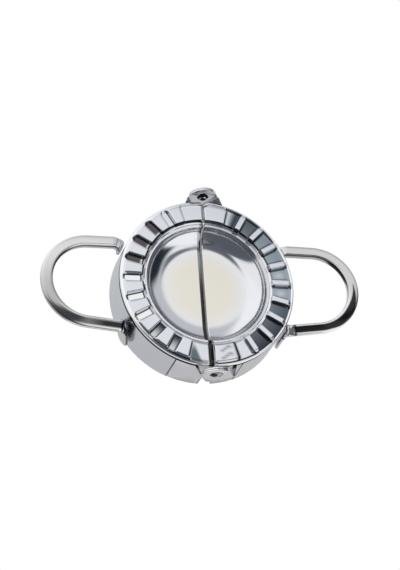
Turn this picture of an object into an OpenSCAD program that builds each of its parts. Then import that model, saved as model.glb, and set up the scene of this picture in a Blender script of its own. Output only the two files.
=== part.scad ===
// Hand press for filled dough pockets: two hinged sheet metal halves.
// Frame: +Z up, table at z = 0, hinge axis along Y at the mating plane.
// Left half on -X, right half on +X, handles along X.

/* [Halves] */
// Outer radius of the crimp ring
rim_r = 45.8; // [40:0.1:60]
// Height of the mating plane above the table
rim_h = 25; // [20:0.5:34]
// Gap between the two halves along the seam
seam_gap = 0.6; // [0.5:0.05:1.4]
// Sheet thickness of ring, bowl and skirt
sheet = 0.7; // [0.5:0.05:0.9]

/* [Crimp ring] */
// Radial width of the crimp ring
ring_w = 11.8; // [9:0.1:14]
// Width of the plain lip outside the grooves
lip_w = 1.4; // [1:0.1:2.5]
// Height of the teeth above the mating plane
tooth_rise = 0.8; // [0.4:0.05:1.2]
// Width of the parallel grooves of the left half
groove_w = 4; // [3.4:0.1:5]
// Angle from one groove to the next
pitch_deg = 15; // [14:0.5:16]
// Grooves in the left half, an odd number
groove_n = 9; // [5:2:9]
// Clearance beside a tooth in its groove when folded
mesh_side = 0.35; // [0.25:0.05:0.5]
// Clearance over a tooth in its groove when folded
mesh_deep = 0.4; // [0.2:0.05:0.6]
// Gap between the plain lands when folded
land_gap = 0.3; // [0.2:0.05:0.6]
// Drop of the plain lip below the lands
lip_drop = 0.1; // [0.05:0.01:0.3]
// Corner radius of the ring at the back end of the seam
back_corner_r = 2.2; // [1:0.1:3]
// Corner radius of the ring at the front end of the seam
front_corner_r = 0.8; // [0.5:0.1:3]

/* [Bowl] */
// Width of the ledge between the crimp ring and the bowl's wall
ledge_w = 2.4; // [1.6:0.1:6]
// Depth of the bowl's floor below the mating plane
bowl_depth = 10.4; // [9:0.1:16]
// Width of the curve between the bowl's flat floor and its wall
curve_w = 11.6; // [7:0.1:14]
// Height of the bowl's straight wall above the curve
wall_h = 0.1; // [0.1:0.1:1]
// Radius where the wall meets the brim
brim_round = 1.2; // [1:0.05:1.5]
// How far the brim reaches under the crimp ring
brim_lap = 4; // [2:0.1:6]
// Depth of the turned-down edge along the seam
seam_turn = 1.5; // [0.8:0.1:2.5]

/* [Skirt] */
// How far the cutting edge flares out past the rim
skirt_flare = 1.7; // [0.5:0.1:3]
// Butt line between a skirt and an ear
butt_gap = 0.12; // [0.1:0.01:0.2]

/* [Ears] */
// Radius of an ear round the hinge axis
lug_r = 7.2; // [5:0.1:8]
// Thickness of an ear
lug_t = 0.8; // [0.6:0.05:1.2]
// Clearance from the flared skirt out to the ears
lug_clear = 1.1; // [0.8:0.1:2]
// Gap between the two ears of one hinge
layer_gap = 0.1; // [0.08:0.01:0.2]
// Drop of an ear's lower tip below the mating plane
lug_drop = 14.0; // [12:0.1:24]
// Gap between the crimp ring's underside and an ear's shoulder
shoulder_gap = 0.15; // [0.1:0.05:3]
// Seam to bend line at the shoulder, left ears
left_bend_top = 9.2; // [8.8:0.1:12]
// Seam to bend line at the shoulder, right ears
right_bend_top = 11.2; // [10.8:0.1:13]
// Seam to bend line at the tip of an ear
bend_low = 3.2; // [3:0.1:4]
// Width of the joggle between band and ear
joggle_w = 1.9; // [1.7:0.1:2.1]
// Seam to lower tip of an ear
tip_x = 0.9; // [0.7:0.05:1.2]
// Angle of the left front ear's band from the seam
left_front_deg = 24.2; // [19:0.1:34]
// Angle of the other ears' bands from the seam
band_deg = 19; // [19:0.1:30]

/* [Rivets] */
// Radius of a rivet's shank
pin_r = 1.5; // [1:0.05:2.2]
// Radial clearance of the shank in the ears
pin_clear = 0.06; // [0.03:0.01:0.1]
// Radius of the outer head
outer_head_r = 3.2; // [2.6:0.1:4]
// Height of the outer head
outer_head_h = 1; // [0.6:0.05:1.6]
// Radius of the inner head
inner_head_r = 2.6; // [2.4:0.1:3]
// Height of the inner head
inner_head_h = 1.9; // [1:0.05:2.1]

/* [Handles] */
// Width of the bar
bar_w = 6; // [4:0.1:8]
// Thickness of the bar
bar_t = 4; // [3:0.1:5]
// Rounding of the bar's edges
bar_round = 1.3; // [0.5:0.1:1.4]
// Radius of the bow to the middle of the bar
bow_r = 21.9; // [16:0.1:25]
// From the rim to the middle of the bar at the tip
bow_out = 35.7; // [28:0.1:50]
// Angle by which each arm spreads towards the rim
splay_deg = 4; // [0:0.5:8]
// Upward slope of the handle
tilt_deg = 7; // [2:0.5:8]
// Drop of the bar below the mating plane at the rim
bar_drop = 8.7; // [7.5:0.1:12]
// Width of a foot
foot_w = 8.4; // [7:0.1:10]
// Thickness of a foot
foot_t = 1.6; // [1:0.1:2.5]
// Gap between a foot and the skirt's cutting edge
foot_clear = 0.4; // [0.3:0.05:1]
// Height of a foot's lower end above the table
foot_low = 0.8; // [0.5:0.1:3]
// Drop of a foot's upper end below the mating plane
foot_drop = 5.2; // [4:0.1:6]
// Angle by which a foot leans away from the handle's middle
foot_lean = 15; // [0:1:18]
// Width of the weld pad behind a foot
pad_w = 5; // [3:0.1:6]
// Height of the weld pad behind a foot
pad_h = 8; // [4:0.1:10]

/* [Hidden] */
$fn = 96;

// Reach of cutting shapes past what they cut
over = 1;
half_gap = seam_gap / 2;

// Levels of the crimp ring
tooth_z = rim_h + tooth_rise;
floor_z = rim_h - tooth_rise - mesh_deep;
land_z = rim_h - land_gap / 2;
lip_z = land_z - lip_drop;
under_z = floor_z - sheet;
ring_h = tooth_z - under_z;

// Radii of the crimp ring
ring_r = rim_r - ring_w;
groove_r = rim_r - lip_w;
tooth_r = groove_r - mesh_side;
clear_r = groove_r - mesh_side / 2;

// Teeth of the right half and where the lands begin
tooth_w = groove_w - 2 * mesh_side;
last = (groove_n - 1) / 2;
land_deg = pitch_deg * (last + 1);

// Bowl
bowl_r = ring_r - ledge_w;
bowl_z = rim_h - bowl_depth;
curve_r = bowl_r - curve_w;
curve_h = under_z - brim_round - wall_h - bowl_z;
brim_r = ring_r + brim_lap;
arc_steps = 10;

// Skirt
skirt_r = rim_r + skirt_flare;
function skirt_at(z) = skirt_r - skirt_flare * z / under_z;

// Ears, layer by layer out from the skirt
left_ear_y = skirt_r + lug_clear;
right_ear_y = left_ear_y + lug_t + layer_gap;
outer_head_y = right_ear_y + lug_t + layer_gap;
crown_deg = 84;
shoulder_z = under_z - sheet / 2 - shoulder_gap;
shoulder_drop = rim_h - shoulder_z;
tip_z = rim_h - lug_drop;
ear_low = foot_low;

// Handles
bow_c = bow_out - bow_r;
foot_r = skirt_r + foot_clear;
foot_top = rim_h - foot_drop;
foot_turn_z = rim_h - bar_drop;
arm_end_y = bow_r * cos(splay_deg) + (bow_out - bow_r) * tan(splay_deg);
foot_deg = asin(arm_end_y / (foot_r + foot_t / 2));
arm_len = bow_c + rim_r * (1 - cos(foot_deg)) + foot_w;

STEEL = [0.8, 0.81, 0.83];
DARK = [0.66, 0.68, 0.71];

function oval(cx, cy, rx, ry, a0, a1) =
  [for (i = [0:arc_steps]) let (a = a0 + (a1 - a0) * i / arc_steps)
    [cx + rx * cos(a), cy + ry * sin(a)]];

function arc(cx, cy, r, a0, a1) = oval(cx, cy, r, r, a0, a1);

// Curve from the bowl's wall down to its floor, moved out by s
function bowl_curve(s, a0, a1) =
  oval(curve_r, bowl_z + curve_h, curve_w + s, curve_h + s, a0, a1);

// One half of a ring on +X, from the seam outwards
module half_ring(r0, r1, z0, z1, seam) {
  translate([0, 0, z0])
    difference() {
      intersection() {
        cylinder(r = r1, h = z1 - z0);
        translate([seam, -r1 - over, -over])
          cube([r1 + over, 2 * (r1 + over), z1 - z0 + 2 * over]);
      }
      translate([0, 0, -over])
        cylinder(r = r0, h = z1 - z0 + 2 * over);
    }
}

// Everything past a line at angle a that is shifted back by s
module past_line(a, s, z0, z1) {
  rotate([0, 0, a])
    translate([0, -s, z0])
      cube([rim_r + over, rim_r + over, z1 - z0]);
}

// Cutter that rounds a ring's corner at the seam
module corner_cut(r) {
  rim_y = sqrt(rim_r * rim_r - half_gap * half_gap);
  translate([half_gap, rim_y, under_z - over])
    linear_extrude(ring_h + 2 * over)
      difference() {
        translate([-over, -r])
          square([r + over, r + over]);
        translate([r, -r])
          circle(r);
      }
}

module corner_cuts() {
  corner_cut(back_corner_r);
  mirror([0, 1, 0])
    corner_cut(front_corner_r);
}

// Hollow below one land, kept a sheet away from every wall
module land_hollow(s) {
  intersection() {
    half_ring(ring_r + sheet, groove_r - sheet, under_z - over,
      land_z - sheet, half_gap + sheet);
    past_line(land_deg, s - sheet, under_z - over, land_z);
  }
}

// Part of a ring between the lines at a0 and a1, each moved inwards by s
module between_lines(a0, a1, s, r0, r1, z0, z1) {
  intersection() {
    half_ring(r0, r1, z0, z1, 0);
    rotate([0, 0, a0])
      translate([0, s, z0 - over])
        cube([rim_r + over, rim_r, z1 - z0 + 2 * over]);
    rotate([0, 0, a1])
      translate([0, -s - rim_r, z0 - over])
        cube([rim_r + over, rim_r, z1 - z0 + 2 * over]);
  }
}

// Crimp ring with narrow grooves and wide teeth
module grooved_ring() {
  difference() {
    union() {
      half_ring(ring_r, tooth_r, under_z, tooth_z, half_gap);
      half_ring(ring_r, rim_r, under_z, lip_z, half_gap);
    }
    for (k = [-last:last])
      rotate([0, 0, pitch_deg * k])
        intersection() {
          translate([ring_r - over, -groove_w / 2, floor_z])
            cube([ring_w, groove_w, ring_h]);
          translate([0, 0, floor_z - over])
            cylinder(r = groove_r, h = ring_h + 2 * over);
        }
    for (m = [0, 1])
      mirror([0, m, 0]) {
        past_line(land_deg, groove_w / 2, land_z, tooth_z + over);
        land_hollow(groove_w / 2);
      }
    for (k = [-last - 1:last])
      between_lines(pitch_deg * k, pitch_deg * (k + 1), groove_w / 2 + sheet,
        ring_r + sheet, tooth_r - sheet, under_z - over, tooth_z - sheet);
    corner_cuts();
  }
}

// Crimp ring with narrow teeth and wide grooves
module toothed_ring() {
  difference() {
    union() {
      half_ring(ring_r, clear_r, under_z, tooth_z, half_gap);
      half_ring(ring_r, rim_r, under_z, lip_z, half_gap);
    }
    for (k = [-last - 1:last])
      between_lines(pitch_deg * k, pitch_deg * (k + 1), tooth_w / 2,
        ring_r - over, clear_r + mesh_side / 4, floor_z, tooth_z + over);
    difference() {
      half_ring(tooth_r, groove_r, floor_z, tooth_z + over, 0);
      for (m = [0, 1])
        mirror([0, m, 0])
          past_line(land_deg, tooth_w / 2, floor_z - over, tooth_z + 2 * over);
    }
    for (m = [0, 1])
      mirror([0, m, 0]) {
        past_line(land_deg, tooth_w / 2, land_z, tooth_z + over);
        land_hollow(tooth_w / 2);
      }
    for (k = [-last:last])
      rotate([0, 0, pitch_deg * k])
        intersection() {
          half_ring(ring_r + sheet, tooth_r - sheet, under_z - over,
            tooth_z - sheet, half_gap);
          translate([0, -tooth_w / 2 + sheet, under_z - 2 * over])
            cube([rim_r, tooth_w - 2 * sheet, ring_h + 2 * over]);
        }
    corner_cuts();
  }
}

// Half bowl with its brim and the turned-down edge along the seam
module bowl() {
  turn = sheet + seam_turn;
  intersection() {
    rotate_extrude()
      polygon(concat(
        [[brim_r, under_z]],
        arc(bowl_r + brim_round, under_z - brim_round, brim_round, 90, 180),
        bowl_curve(0, 0, -90),
        [[0, bowl_z], [0, bowl_z - sheet]],
        bowl_curve(sheet, -90, 0),
        arc(bowl_r + brim_round, under_z - brim_round,
          brim_round - sheet, 180, 90),
        [[brim_r, under_z - sheet]]));
    translate([half_gap, -brim_r - over, bowl_z - turn - over])
      cube([brim_r + over, 2 * (brim_r + over), rim_h]);
  }
  for (m = [0, 1])
    mirror([0, m, 0])
      translate([half_gap, 0, 0])
        rotate([90, 0, 90])
          linear_extrude(sheet)
            polygon(concat(
              [[0, bowl_z - turn], [0, bowl_z - sheet / 2]],
              bowl_curve(sheet / 2, -90, 0),
              arc(bowl_r + brim_round, under_z - brim_round,
                brim_round - sheet / 2, 180, 90),
              [[ring_r, under_z - sheet / 2], [ring_r, under_z - turn],
                [bowl_r + turn, under_z - turn]],
              bowl_curve(turn, 0, -90)));
}

// Flared skirt between two angles
module skirt_arc(a0, a1, z0) {
  rotate([0, 0, a0])
    rotate_extrude(angle = a1 - a0)
      polygon([[skirt_at(z0), z0], [rim_r, under_z],
        [rim_r - sheet, under_z], [skirt_at(z0) - sheet, z0]]);
}

// Rounded rectangle section of the handle bar
module bar_section() {
  square([bar_w - 2 * bar_round, bar_t], center = true);
  square([bar_w, bar_t - 2 * bar_round], center = true);
  for (x = [-1, 1], y = [-1, 1])
    translate([x * (bar_w / 2 - bar_round), y * (bar_t / 2 - bar_round)])
      circle(bar_round);
}

// Outline of a foot, round at both ends
module foot_outline() {
  translate([-foot_w / 2, foot_low + foot_w / 2])
    square([foot_w, foot_top - foot_low - foot_w]);
  for (z = [foot_low + foot_w / 2, foot_top - foot_w / 2])
    translate([0, z])
      circle(foot_w / 2);
}

// Handle on +X: bow, two arms, two feet and their weld pads
module handle() {
  difference() {
    translate([rim_r, 0, rim_h - bar_drop])
      rotate([0, -tilt_deg, 0])
        translate([bow_c, 0, 0]) {
          rotate([0, 0, splay_deg - 90])
            rotate_extrude(angle = 180 - 2 * splay_deg)
              translate([bow_r, 0])
                bar_section();
          for (s = [-1, 1])
            rotate([0, 0, s * (90 - splay_deg)])
              translate([bow_r, 0, 0])
                rotate([s * -90, 0, 0])
                  linear_extrude(arm_len)
                    bar_section();
        }
    for (m = [0, 1])
      mirror([0, m, 0])
        rotate([0, 0, foot_deg])
          translate([0, -foot_w * 1.5, 0])
            cube([foot_r, 3 * foot_w, rim_h + bar_t]);
  }
  for (m = [0, 1])
    mirror([0, m, 0])
      rotate([0, 0, foot_deg]) {
        translate([foot_r, 0, foot_turn_z])
          rotate([90, 0, 90])
            linear_extrude(foot_t)
              rotate(foot_lean)
                translate([0, -foot_turn_z])
                  foot_outline();
        difference() {
          translate([rim_r - over, 0, foot_turn_z])
            rotate([foot_lean, 0, 0])
              translate([0, -pad_w / 2, -pad_h])
                cube([foot_r - rim_r + over + foot_t / 2, pad_w, pad_h]);
          cylinder(r1 = skirt_r, r2 = rim_r, h = under_z);
        }
      }
}

// Touching point on the ear's round for a line that starts at [x, z]
function touch(x, z, side) =
  let (a = atan2(z, x) + side * acos(lug_r / norm([x, z])))
    [lug_r * cos(a), lug_r * sin(a)];

// Small block at one corner of a joggle
module knuckle(x, y, z) {
  translate([x, y, z])
    cube([sheet, lug_t, sheet], center = true);
}

// Ear at the back end of the right half, its layer starting at y_in
module ear(y_in, bend_top, deg) {
  neck_top = bend_top - joggle_w;
  neck_low = bend_low - joggle_w;
  slope = (bend_top - bend_low) / (shoulder_z - tip_z);
  difference() {
    union() {
      translate([0, y_in + lug_t, rim_h])
        rotate([90, 0, 0])
          linear_extrude(lug_t) {
            circle(lug_r);
            polygon([touch(neck_top, -shoulder_drop, 1), [0, 0],
              touch(tip_x, -lug_drop, -1), [tip_x, -lug_drop],
              [neck_low, -lug_drop], [neck_top, -shoulder_drop]]);
          }
      hull() {
        knuckle(neck_top, y_in + lug_t / 2, shoulder_z);
        knuckle(neck_low, y_in + lug_t / 2, tip_z + sheet / 2);
        knuckle(bend_top, band_y(bend_top, shoulder_z), shoulder_z);
        knuckle(bend_low, band_y(bend_low, tip_z), tip_z + sheet / 2);
      }
      intersection() {
        skirt_arc(90 - deg + butt_gap / rim_r * 180 / PI, 89, ear_low);
        translate([0, rim_r + over + skirt_flare, 0])
          rotate([90, 0, 0])
            linear_extrude(rim_r)
              polygon([[bend_low, 0], [rim_r, 0], [rim_r, rim_h],
                [bend_top + slope * shoulder_drop, rim_h],
                [bend_low, tip_z]]);
      }
    }
    translate([0, y_in - over, rim_h])
      rotate([-90, 0, 0])
        cylinder(r = pin_r + pin_clear, h = lug_t + 2 * over);
  }
}

function band_y(x, z) =
  sqrt(skirt_at(z) * skirt_at(z) - x * x) - sheet / 2;

// Domed rivet head of radius r and height h, base at the origin, along +Y
module head(r, h) {
  ball = (r * r + h * h) / (2 * h);
  dome = arc(0, h - ball, ball, asin((ball - h) / ball), crown_deg);
  rotate([-90, 0, 0])
    rotate_extrude()
      polygon(concat([[0, 0]], dome, [[0, dome[arc_steps][1]]]));
}

// Rivet at the back hinge
module rivet() {
  translate([0, 0, rim_h]) {
    translate([0, left_ear_y, 0])
      rotate([-90, 0, 0])
        cylinder(r = pin_r, h = outer_head_y - left_ear_y);
    translate([0, outer_head_y, 0])
      head(outer_head_r, outer_head_h);
    translate([0, left_ear_y, 0])
      mirror([0, 1, 0])
        head(inner_head_r, inner_head_h);
  }
}

module left_crimp_plate() {
  color(STEEL)
    mirror([1, 0, 0])
      grooved_ring();
}

module right_crimp_plate() {
  color(STEEL)
    toothed_ring();
}

module left_bowl() {
  color(STEEL)
    mirror([1, 0, 0])
      bowl();
}

module right_bowl() {
  color(STEEL)
    bowl();
}

module left_skirt() {
  color(STEEL)
    mirror([1, 0, 0])
      skirt_arc(left_front_deg - 90, 90 - band_deg, 0);
}

module right_skirt() {
  color(STEEL)
    skirt_arc(band_deg - 90, 90 - band_deg, 0);
}

module left_handle() {
  color(STEEL)
    mirror([1, 0, 0])
      handle();
}

module right_handle() {
  color(STEEL)
    handle();
}

module left_front_ear() {
  color(DARK)
    rotate([0, 0, 180])
      ear(left_ear_y, left_bend_top, left_front_deg);
}

module left_back_ear() {
  color(DARK)
    mirror([1, 0, 0])
      ear(left_ear_y, left_bend_top, band_deg);
}

module right_front_ear() {
  color(STEEL)
    mirror([0, 1, 0])
      ear(right_ear_y, right_bend_top, band_deg);
}

module right_back_ear() {
  color(STEEL)
    ear(right_ear_y, right_bend_top, band_deg);
}

module front_rivet() {
  color(DARK)
    mirror([0, 1, 0])
      rivet();
}

module back_rivet() {
  color(DARK)
    rivet();
}

left_crimp_plate();
right_crimp_plate();
left_bowl();
right_bowl();
left_skirt();
right_skirt();
left_handle();
right_handle();
left_front_ear();
left_back_ear();
right_front_ear();
right_back_ear();
front_rivet();
back_rivet();
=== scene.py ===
import math
from contextlib import contextmanager

import bmesh
import bpy
from mathutils import Matrix, Vector


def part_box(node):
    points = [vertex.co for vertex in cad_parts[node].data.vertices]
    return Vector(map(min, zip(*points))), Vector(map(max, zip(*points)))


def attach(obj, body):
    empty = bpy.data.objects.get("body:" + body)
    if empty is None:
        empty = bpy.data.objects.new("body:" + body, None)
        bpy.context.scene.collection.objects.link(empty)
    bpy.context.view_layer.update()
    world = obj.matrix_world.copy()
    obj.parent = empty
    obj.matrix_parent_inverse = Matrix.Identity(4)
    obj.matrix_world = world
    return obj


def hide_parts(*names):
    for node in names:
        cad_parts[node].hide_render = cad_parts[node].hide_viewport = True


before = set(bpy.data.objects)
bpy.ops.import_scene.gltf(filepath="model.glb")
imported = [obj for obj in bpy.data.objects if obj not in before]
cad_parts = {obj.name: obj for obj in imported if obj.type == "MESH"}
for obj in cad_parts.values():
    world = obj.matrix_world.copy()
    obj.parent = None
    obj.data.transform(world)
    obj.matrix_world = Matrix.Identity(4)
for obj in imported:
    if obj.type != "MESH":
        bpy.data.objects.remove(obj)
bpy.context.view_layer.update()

bl_info = {
    "name": "Dough pocket press",
    "version": (1, 0, 0),
    "blender": (4, 5, 0),
    "location": "View3D > Sidebar > Dough press",
    "description": "Polished steel looks for a hinged dough pocket press",
    "category": "Object",
}

MM = 0.001


def frame_mm(node):
    """Lowest and highest corner of a CAD node, in millimetres."""
    low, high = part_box(node)
    return low / MM, high / MM


RING_LOW, RING_HIGH = frame_mm("left_crimp_plate")
RIM_R = -RING_LOW.x
RING_UNDER = RING_LOW.z
TOOTH_Z = RING_HIGH.z
SKIRT_R = -frame_mm("left_skirt")[0].x

# What the part's source gives, in millimetres and degrees
HALF_GAP = 0.3
RIM_H = 25.0
RING_R = RIM_R - 11.8
FLOOR_Z = TOOTH_Z - 2.0
LIP_Z = 24.75
PITCH = 15.0
GROOVE_W = 4.0
TOOTH_W = 3.3
BOWL_R = RING_R - 2.4
BOWL_Z = RIM_H - 10.4
CURVE_W = 11.6
CURVE_H = RING_UNDER - 1.3 - BOWL_Z
BAND_DEG = 19.0
LEFT_FRONT_DEG = 24.2
LEFT, RIGHT = -1, 1
BODY = {LEFT: "left_half", RIGHT: "right_half"}
SIDE = {LEFT: "left", RIGHT: "right"}


def length(name, text, default, low, high):
    return bpy.props.FloatProperty(
        name=name, description=text, default=default * MM, min=low * MM, max=high * MM,
        subtype="DISTANCE", unit="LENGTH")


def colour(name, text, hex_code):
    return bpy.props.FloatVectorProperty(
        name=name, description=text, size=3, subtype="COLOR", min=0, max=1,
        default=linear(hex_code))


def linear(hex_code):
    """An sRGB hex colour as linear red, green and blue."""
    parts = [int(hex_code[i:i + 2], 16) / 255 for i in (1, 3, 5)]
    return tuple(p / 12.92 if p <= 0.04045 else ((p + 0.055) / 1.055) ** 2.4 for p in parts)


class PressSizes(bpy.types.PropertyGroup):
    sheet: length("Sheet", "Thickness of the pressed sheet", 0.5, 0.3, 0.9)
    wall_w: length("Crimp wall", "Half width of the wall beside a tooth", 0.32, 0.2, 0.8)
    inner_roll: length("Inner roll", "Width of the ring's rounded inner edge", 1.2, 0.4, 1.6)
    wave: length("Wave", "How far the inner edge draws back at a groove", 0.6, 0.0, 1.0)
    lip_left: length("Left lip roll", "Width of the left ring's rounded lip", 1.28, 0.6, 1.4)
    lip_right: length("Right lip roll", "Width of the right ring's rounded lip", 0.8, 0.6, 1.4)
    seam_run_left: length("Left seam slope", "Width of the slope beside the left seam", 1.9, 0.2, 3)
    seam_run_right: length("Right seam slope", "Width of the slope beside the right seam", 0.3, 0.2, 3)
    seam_roll: length("Seam roll", "Radius of the edge that turns down at the seam", 0.5, 0.3, 1)
    bar_w: length("Bar width", "Width of the handle's bar", 6.0, 4.0, 8.0)
    bar_t: length("Bar thickness", "Thickness of the handle's bar", 4.0, 3.0, 5.0)
    foot_w: length("Foot width", "Width of a handle's foot", 8.8, 7.0, 10.0)
    bar_crown: bpy.props.FloatProperty(
        name="Bar crown", description="Roundness of the bar's section: 2 is an ellipse",
        default=4.5, min=2.0, max=8.0)
    front_lean: bpy.props.FloatProperty(
        name="Front arm lean", description="How far the front arms turn outwards",
        default=math.radians(16), min=0, max=math.radians(30), subtype="ANGLE", unit="ROTATION")


class PressColours(bpy.types.PropertyGroup):
    steel: colour("Steel", "Tint of the polished steel", "#e6e7ea")
    satin: colour("Satin steel", "Tint of the skirts", "#e6e8ec")
    bar: colour("Bar steel", "Tint of the handles", "#ebebeb")
    ear: colour("Ear steel", "Tint of the hinge ears", "#e3e3e8")
    floor: colour("Floor", "Tint of the table", "#ffffff")


def sizes():
    """The press's sizes, in metres."""
    return bpy.context.scene.press_sizes


def colours():
    return bpy.context.scene.press_colours


# Meshes

def placed(name, data):
    """A new object in the scene."""
    thing = bpy.data.objects.new(name, data)
    bpy.context.scene.collection.objects.link(thing)
    return thing


@contextmanager
def edited(mesh):
    """A mesh as an editable one, which is written back at the end."""
    work = bmesh.new()
    work.from_mesh(mesh)
    yield work
    work.to_mesh(mesh)
    work.free()


def mesh_object(name, points, faces, marks=None, tones=None, flip=False):
    """A closed mesh from points in millimetres, with float marks and a tone for each point."""
    mesh = bpy.data.meshes.new(name)
    if flip:
        points = [(-x, y, z) for x, y, z in points]
        faces = [face[::-1] for face in faces]
    mesh.from_pydata([(x * MM, y * MM, z * MM) for x, y, z in points], [], faces)
    for mark, values in (marks or {}).items():
        layer = mesh.attributes.new(mark, "FLOAT", "POINT")
        layer.data.foreach_set("value", values)
    if tones:
        layer = mesh.attributes.new("tone", "FLOAT_COLOR", "POINT")
        layer.data.foreach_set("color", [c for tone in tones for c in (*tone, 1.0)])
    with edited(mesh) as work:
        bmesh.ops.remove_doubles(work, verts=work.verts, dist=2e-6)
        bmesh.ops.dissolve_degenerate(work, edges=work.edges, dist=1e-7)
    mesh.polygons.foreach_set("use_smooth", [True] * len(mesh.polygons))
    return placed(name, mesh)


def shell(top, bottom, pole=False):
    """Points and faces of a closed shell from two grids [column][row], the top facing up
    where columns turn anticlockwise and rows go outwards. With a pole, the first row is
    one point and needs no edge."""
    cols, rows = len(top), len(top[0])
    points = [p for grid in (top, bottom) for col in grid for p in col]
    under = cols * rows

    def at(i, j, side=0):
        return side * under + i * rows + j

    faces = []
    for i in range(cols - 1):
        for j in range(rows - 1):
            quad = (at(i, j), at(i, j + 1), at(i + 1, j + 1), at(i + 1, j))
            faces.append(quad)
            faces.append(tuple(under + v for v in quad[::-1]))
    j = rows - 1
    for i in range(cols - 1):
        if not pole:
            faces.append((at(i, 0, 1), at(i, 0), at(i + 1, 0), at(i + 1, 0, 1)))
        faces.append((at(i + 1, j, 1), at(i + 1, j), at(i, j), at(i, j, 1)))
    for j in range(rows - 1):
        faces.append((at(0, j + 1, 1), at(0, j + 1), at(0, j), at(0, j, 1)))
        i = cols - 1
        faces.append((at(i, j, 1), at(i, j), at(i, j + 1), at(i, j + 1, 1)))
    return points, faces


def swept(sections):
    """Points and faces of a closed solid from a list of closed sections of equal length."""
    count = len(sections[0])
    points = [p for section in sections for p in section]
    faces = []
    for i in range(len(sections) - 1):
        for j in range(count):
            k = (j + 1) % count
            faces.append((i * count + j, i * count + k, (i + 1) * count + k, (i + 1) * count + j))
    faces.append(tuple(range(count))[::-1])
    last = (len(sections) - 1) * count
    faces.append(tuple(last + j for j in range(count)))
    return points, faces


def outward(thing):
    """Turns all faces of one closed solid outwards."""
    with edited(thing.data) as work:
        if work.calc_volume(signed=True) < 0:
            bmesh.ops.reverse_faces(work, faces=work.faces)


def crease(thing, degrees):
    """Smooth shading, broken where faces meet at more than this angle."""
    thing.data.polygons.foreach_set("use_smooth", [True] * len(thing.data.polygons))
    thing.data.set_sharp_from_angle(angle=math.radians(degrees))


def dress(thing, material, side, slot, *nodes):
    """Gives a piece its material and its place in the CAD frame."""
    thing.data.materials.clear()
    thing.data.materials.append(material)
    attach(thing, BODY[side])
    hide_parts(*nodes)
    return thing


def oval(centre, wide, high, start, end, steps):
    """Points along an oval in the plane, angles in degrees."""
    out = []
    for i in range(steps + 1):
        a = math.radians(start + (end - start) * i / steps)
        out.append((centre[0] + wide * math.cos(a), centre[1] + high * math.sin(a)))
    return out


def arc(centre, radius, start, end, steps):
    """Points along a circle in the plane."""
    return oval(centre, radius, radius, start, end, steps)


def ease(t):
    """0 below 0, 1 above 1, and a soft step between them."""
    t = min(1.0, max(0.0, t))
    return t * t * (3 - 2 * t)


def blend(a, b, t):
    return a + (b - a) * t


def between(value, low, high, soft):
    """1 between two limits, with soft ends."""
    return ease((value - low) / soft + 0.5) * ease((high - value) / soft + 0.5)


# Geometry nodes

def add(tree, kind, links=(), **settings):
    """One node with its settings. Links give its inputs by name, or the first ones in order:
    each is a value, a socket, or a node whose first output is meant."""
    made = tree.nodes.new(kind)
    for name, value in settings.items():
        setattr(made, name, value)
    for key, value in (links if isinstance(links, dict) else dict(enumerate(links))).items():
        if isinstance(value, bpy.types.Node):
            value = value.outputs[0]
        if isinstance(value, bpy.types.NodeSocket):
            tree.links.new(value, made.inputs[key])
        else:
            made.inputs[key].default_value = value
    return made


def shape_tree(name, inputs):
    """A new tree that takes a mesh, a steel and these inputs and gives a mesh, and its
    input node."""
    tree = bpy.data.node_groups.new(name, "GeometryNodeTree")
    for label, kind in {"Geometry": "Geometry", "Steel": "Material", **inputs}.items():
        tree.interface.new_socket(label, in_out="INPUT", socket_type="NodeSocket" + kind)
    tree.interface.new_socket("Geometry", in_out="OUTPUT", socket_type="NodeSocketGeometry")
    return tree, add(tree, "NodeGroupInput")


def end_tree(tree, entry, shape):
    """Every tree ends in real geometry of its steel."""
    real = add(tree, "GeometryNodeRealizeInstances", (shape,))
    steel = add(tree, "GeometryNodeSetMaterial",
                {"Geometry": real, "Material": entry.outputs["Steel"]})
    add(tree, "NodeGroupOutput", (steel,))
    return tree


# What each point of a crimp ring carries: side (-1 to 1 across a wall), before and after (the
# levels on either side of it, 0 groove to 1 tooth) and rise (the height there at level 1)
MARKS = ("side", "before", "after", "rise")


def crimp_tree():
    """Raises the flat ring grid into teeth, grooves and lands by the marks of its points."""
    tree, entry = shape_tree("Crimp pattern", {"Tooth height": "Float"})
    side, before, after, rise = [
        add(tree, "GeometryNodeInputNamedAttribute", {"Name": name}, data_type="FLOAT")
        for name in MARKS]
    quarter = add(tree, "ShaderNodeMath", (side, math.pi / 2), operation="MULTIPLY")
    wave = add(tree, "ShaderNodeMath", (quarter,), operation="SINE")
    share = add(tree, "ShaderNodeMath", (wave, 0.5, 0.5), operation="MULTIPLY_ADD")
    step = add(tree, "ShaderNodeMath", (after, before), operation="SUBTRACT")
    level = add(tree, "ShaderNodeMath", (step, share, before), operation="MULTIPLY_ADD")
    part = add(tree, "ShaderNodeMath", (level, rise), operation="MULTIPLY")
    lift = add(tree, "ShaderNodeMath", (part, entry.outputs["Tooth height"]),
               operation="MULTIPLY")
    offset = add(tree, "ShaderNodeCombineXYZ", {"Z": lift})
    moved = add(tree, "GeometryNodeSetPosition",
                {"Geometry": entry.outputs["Geometry"], "Offset": offset})
    return end_tree(tree, entry, moved)


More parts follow.
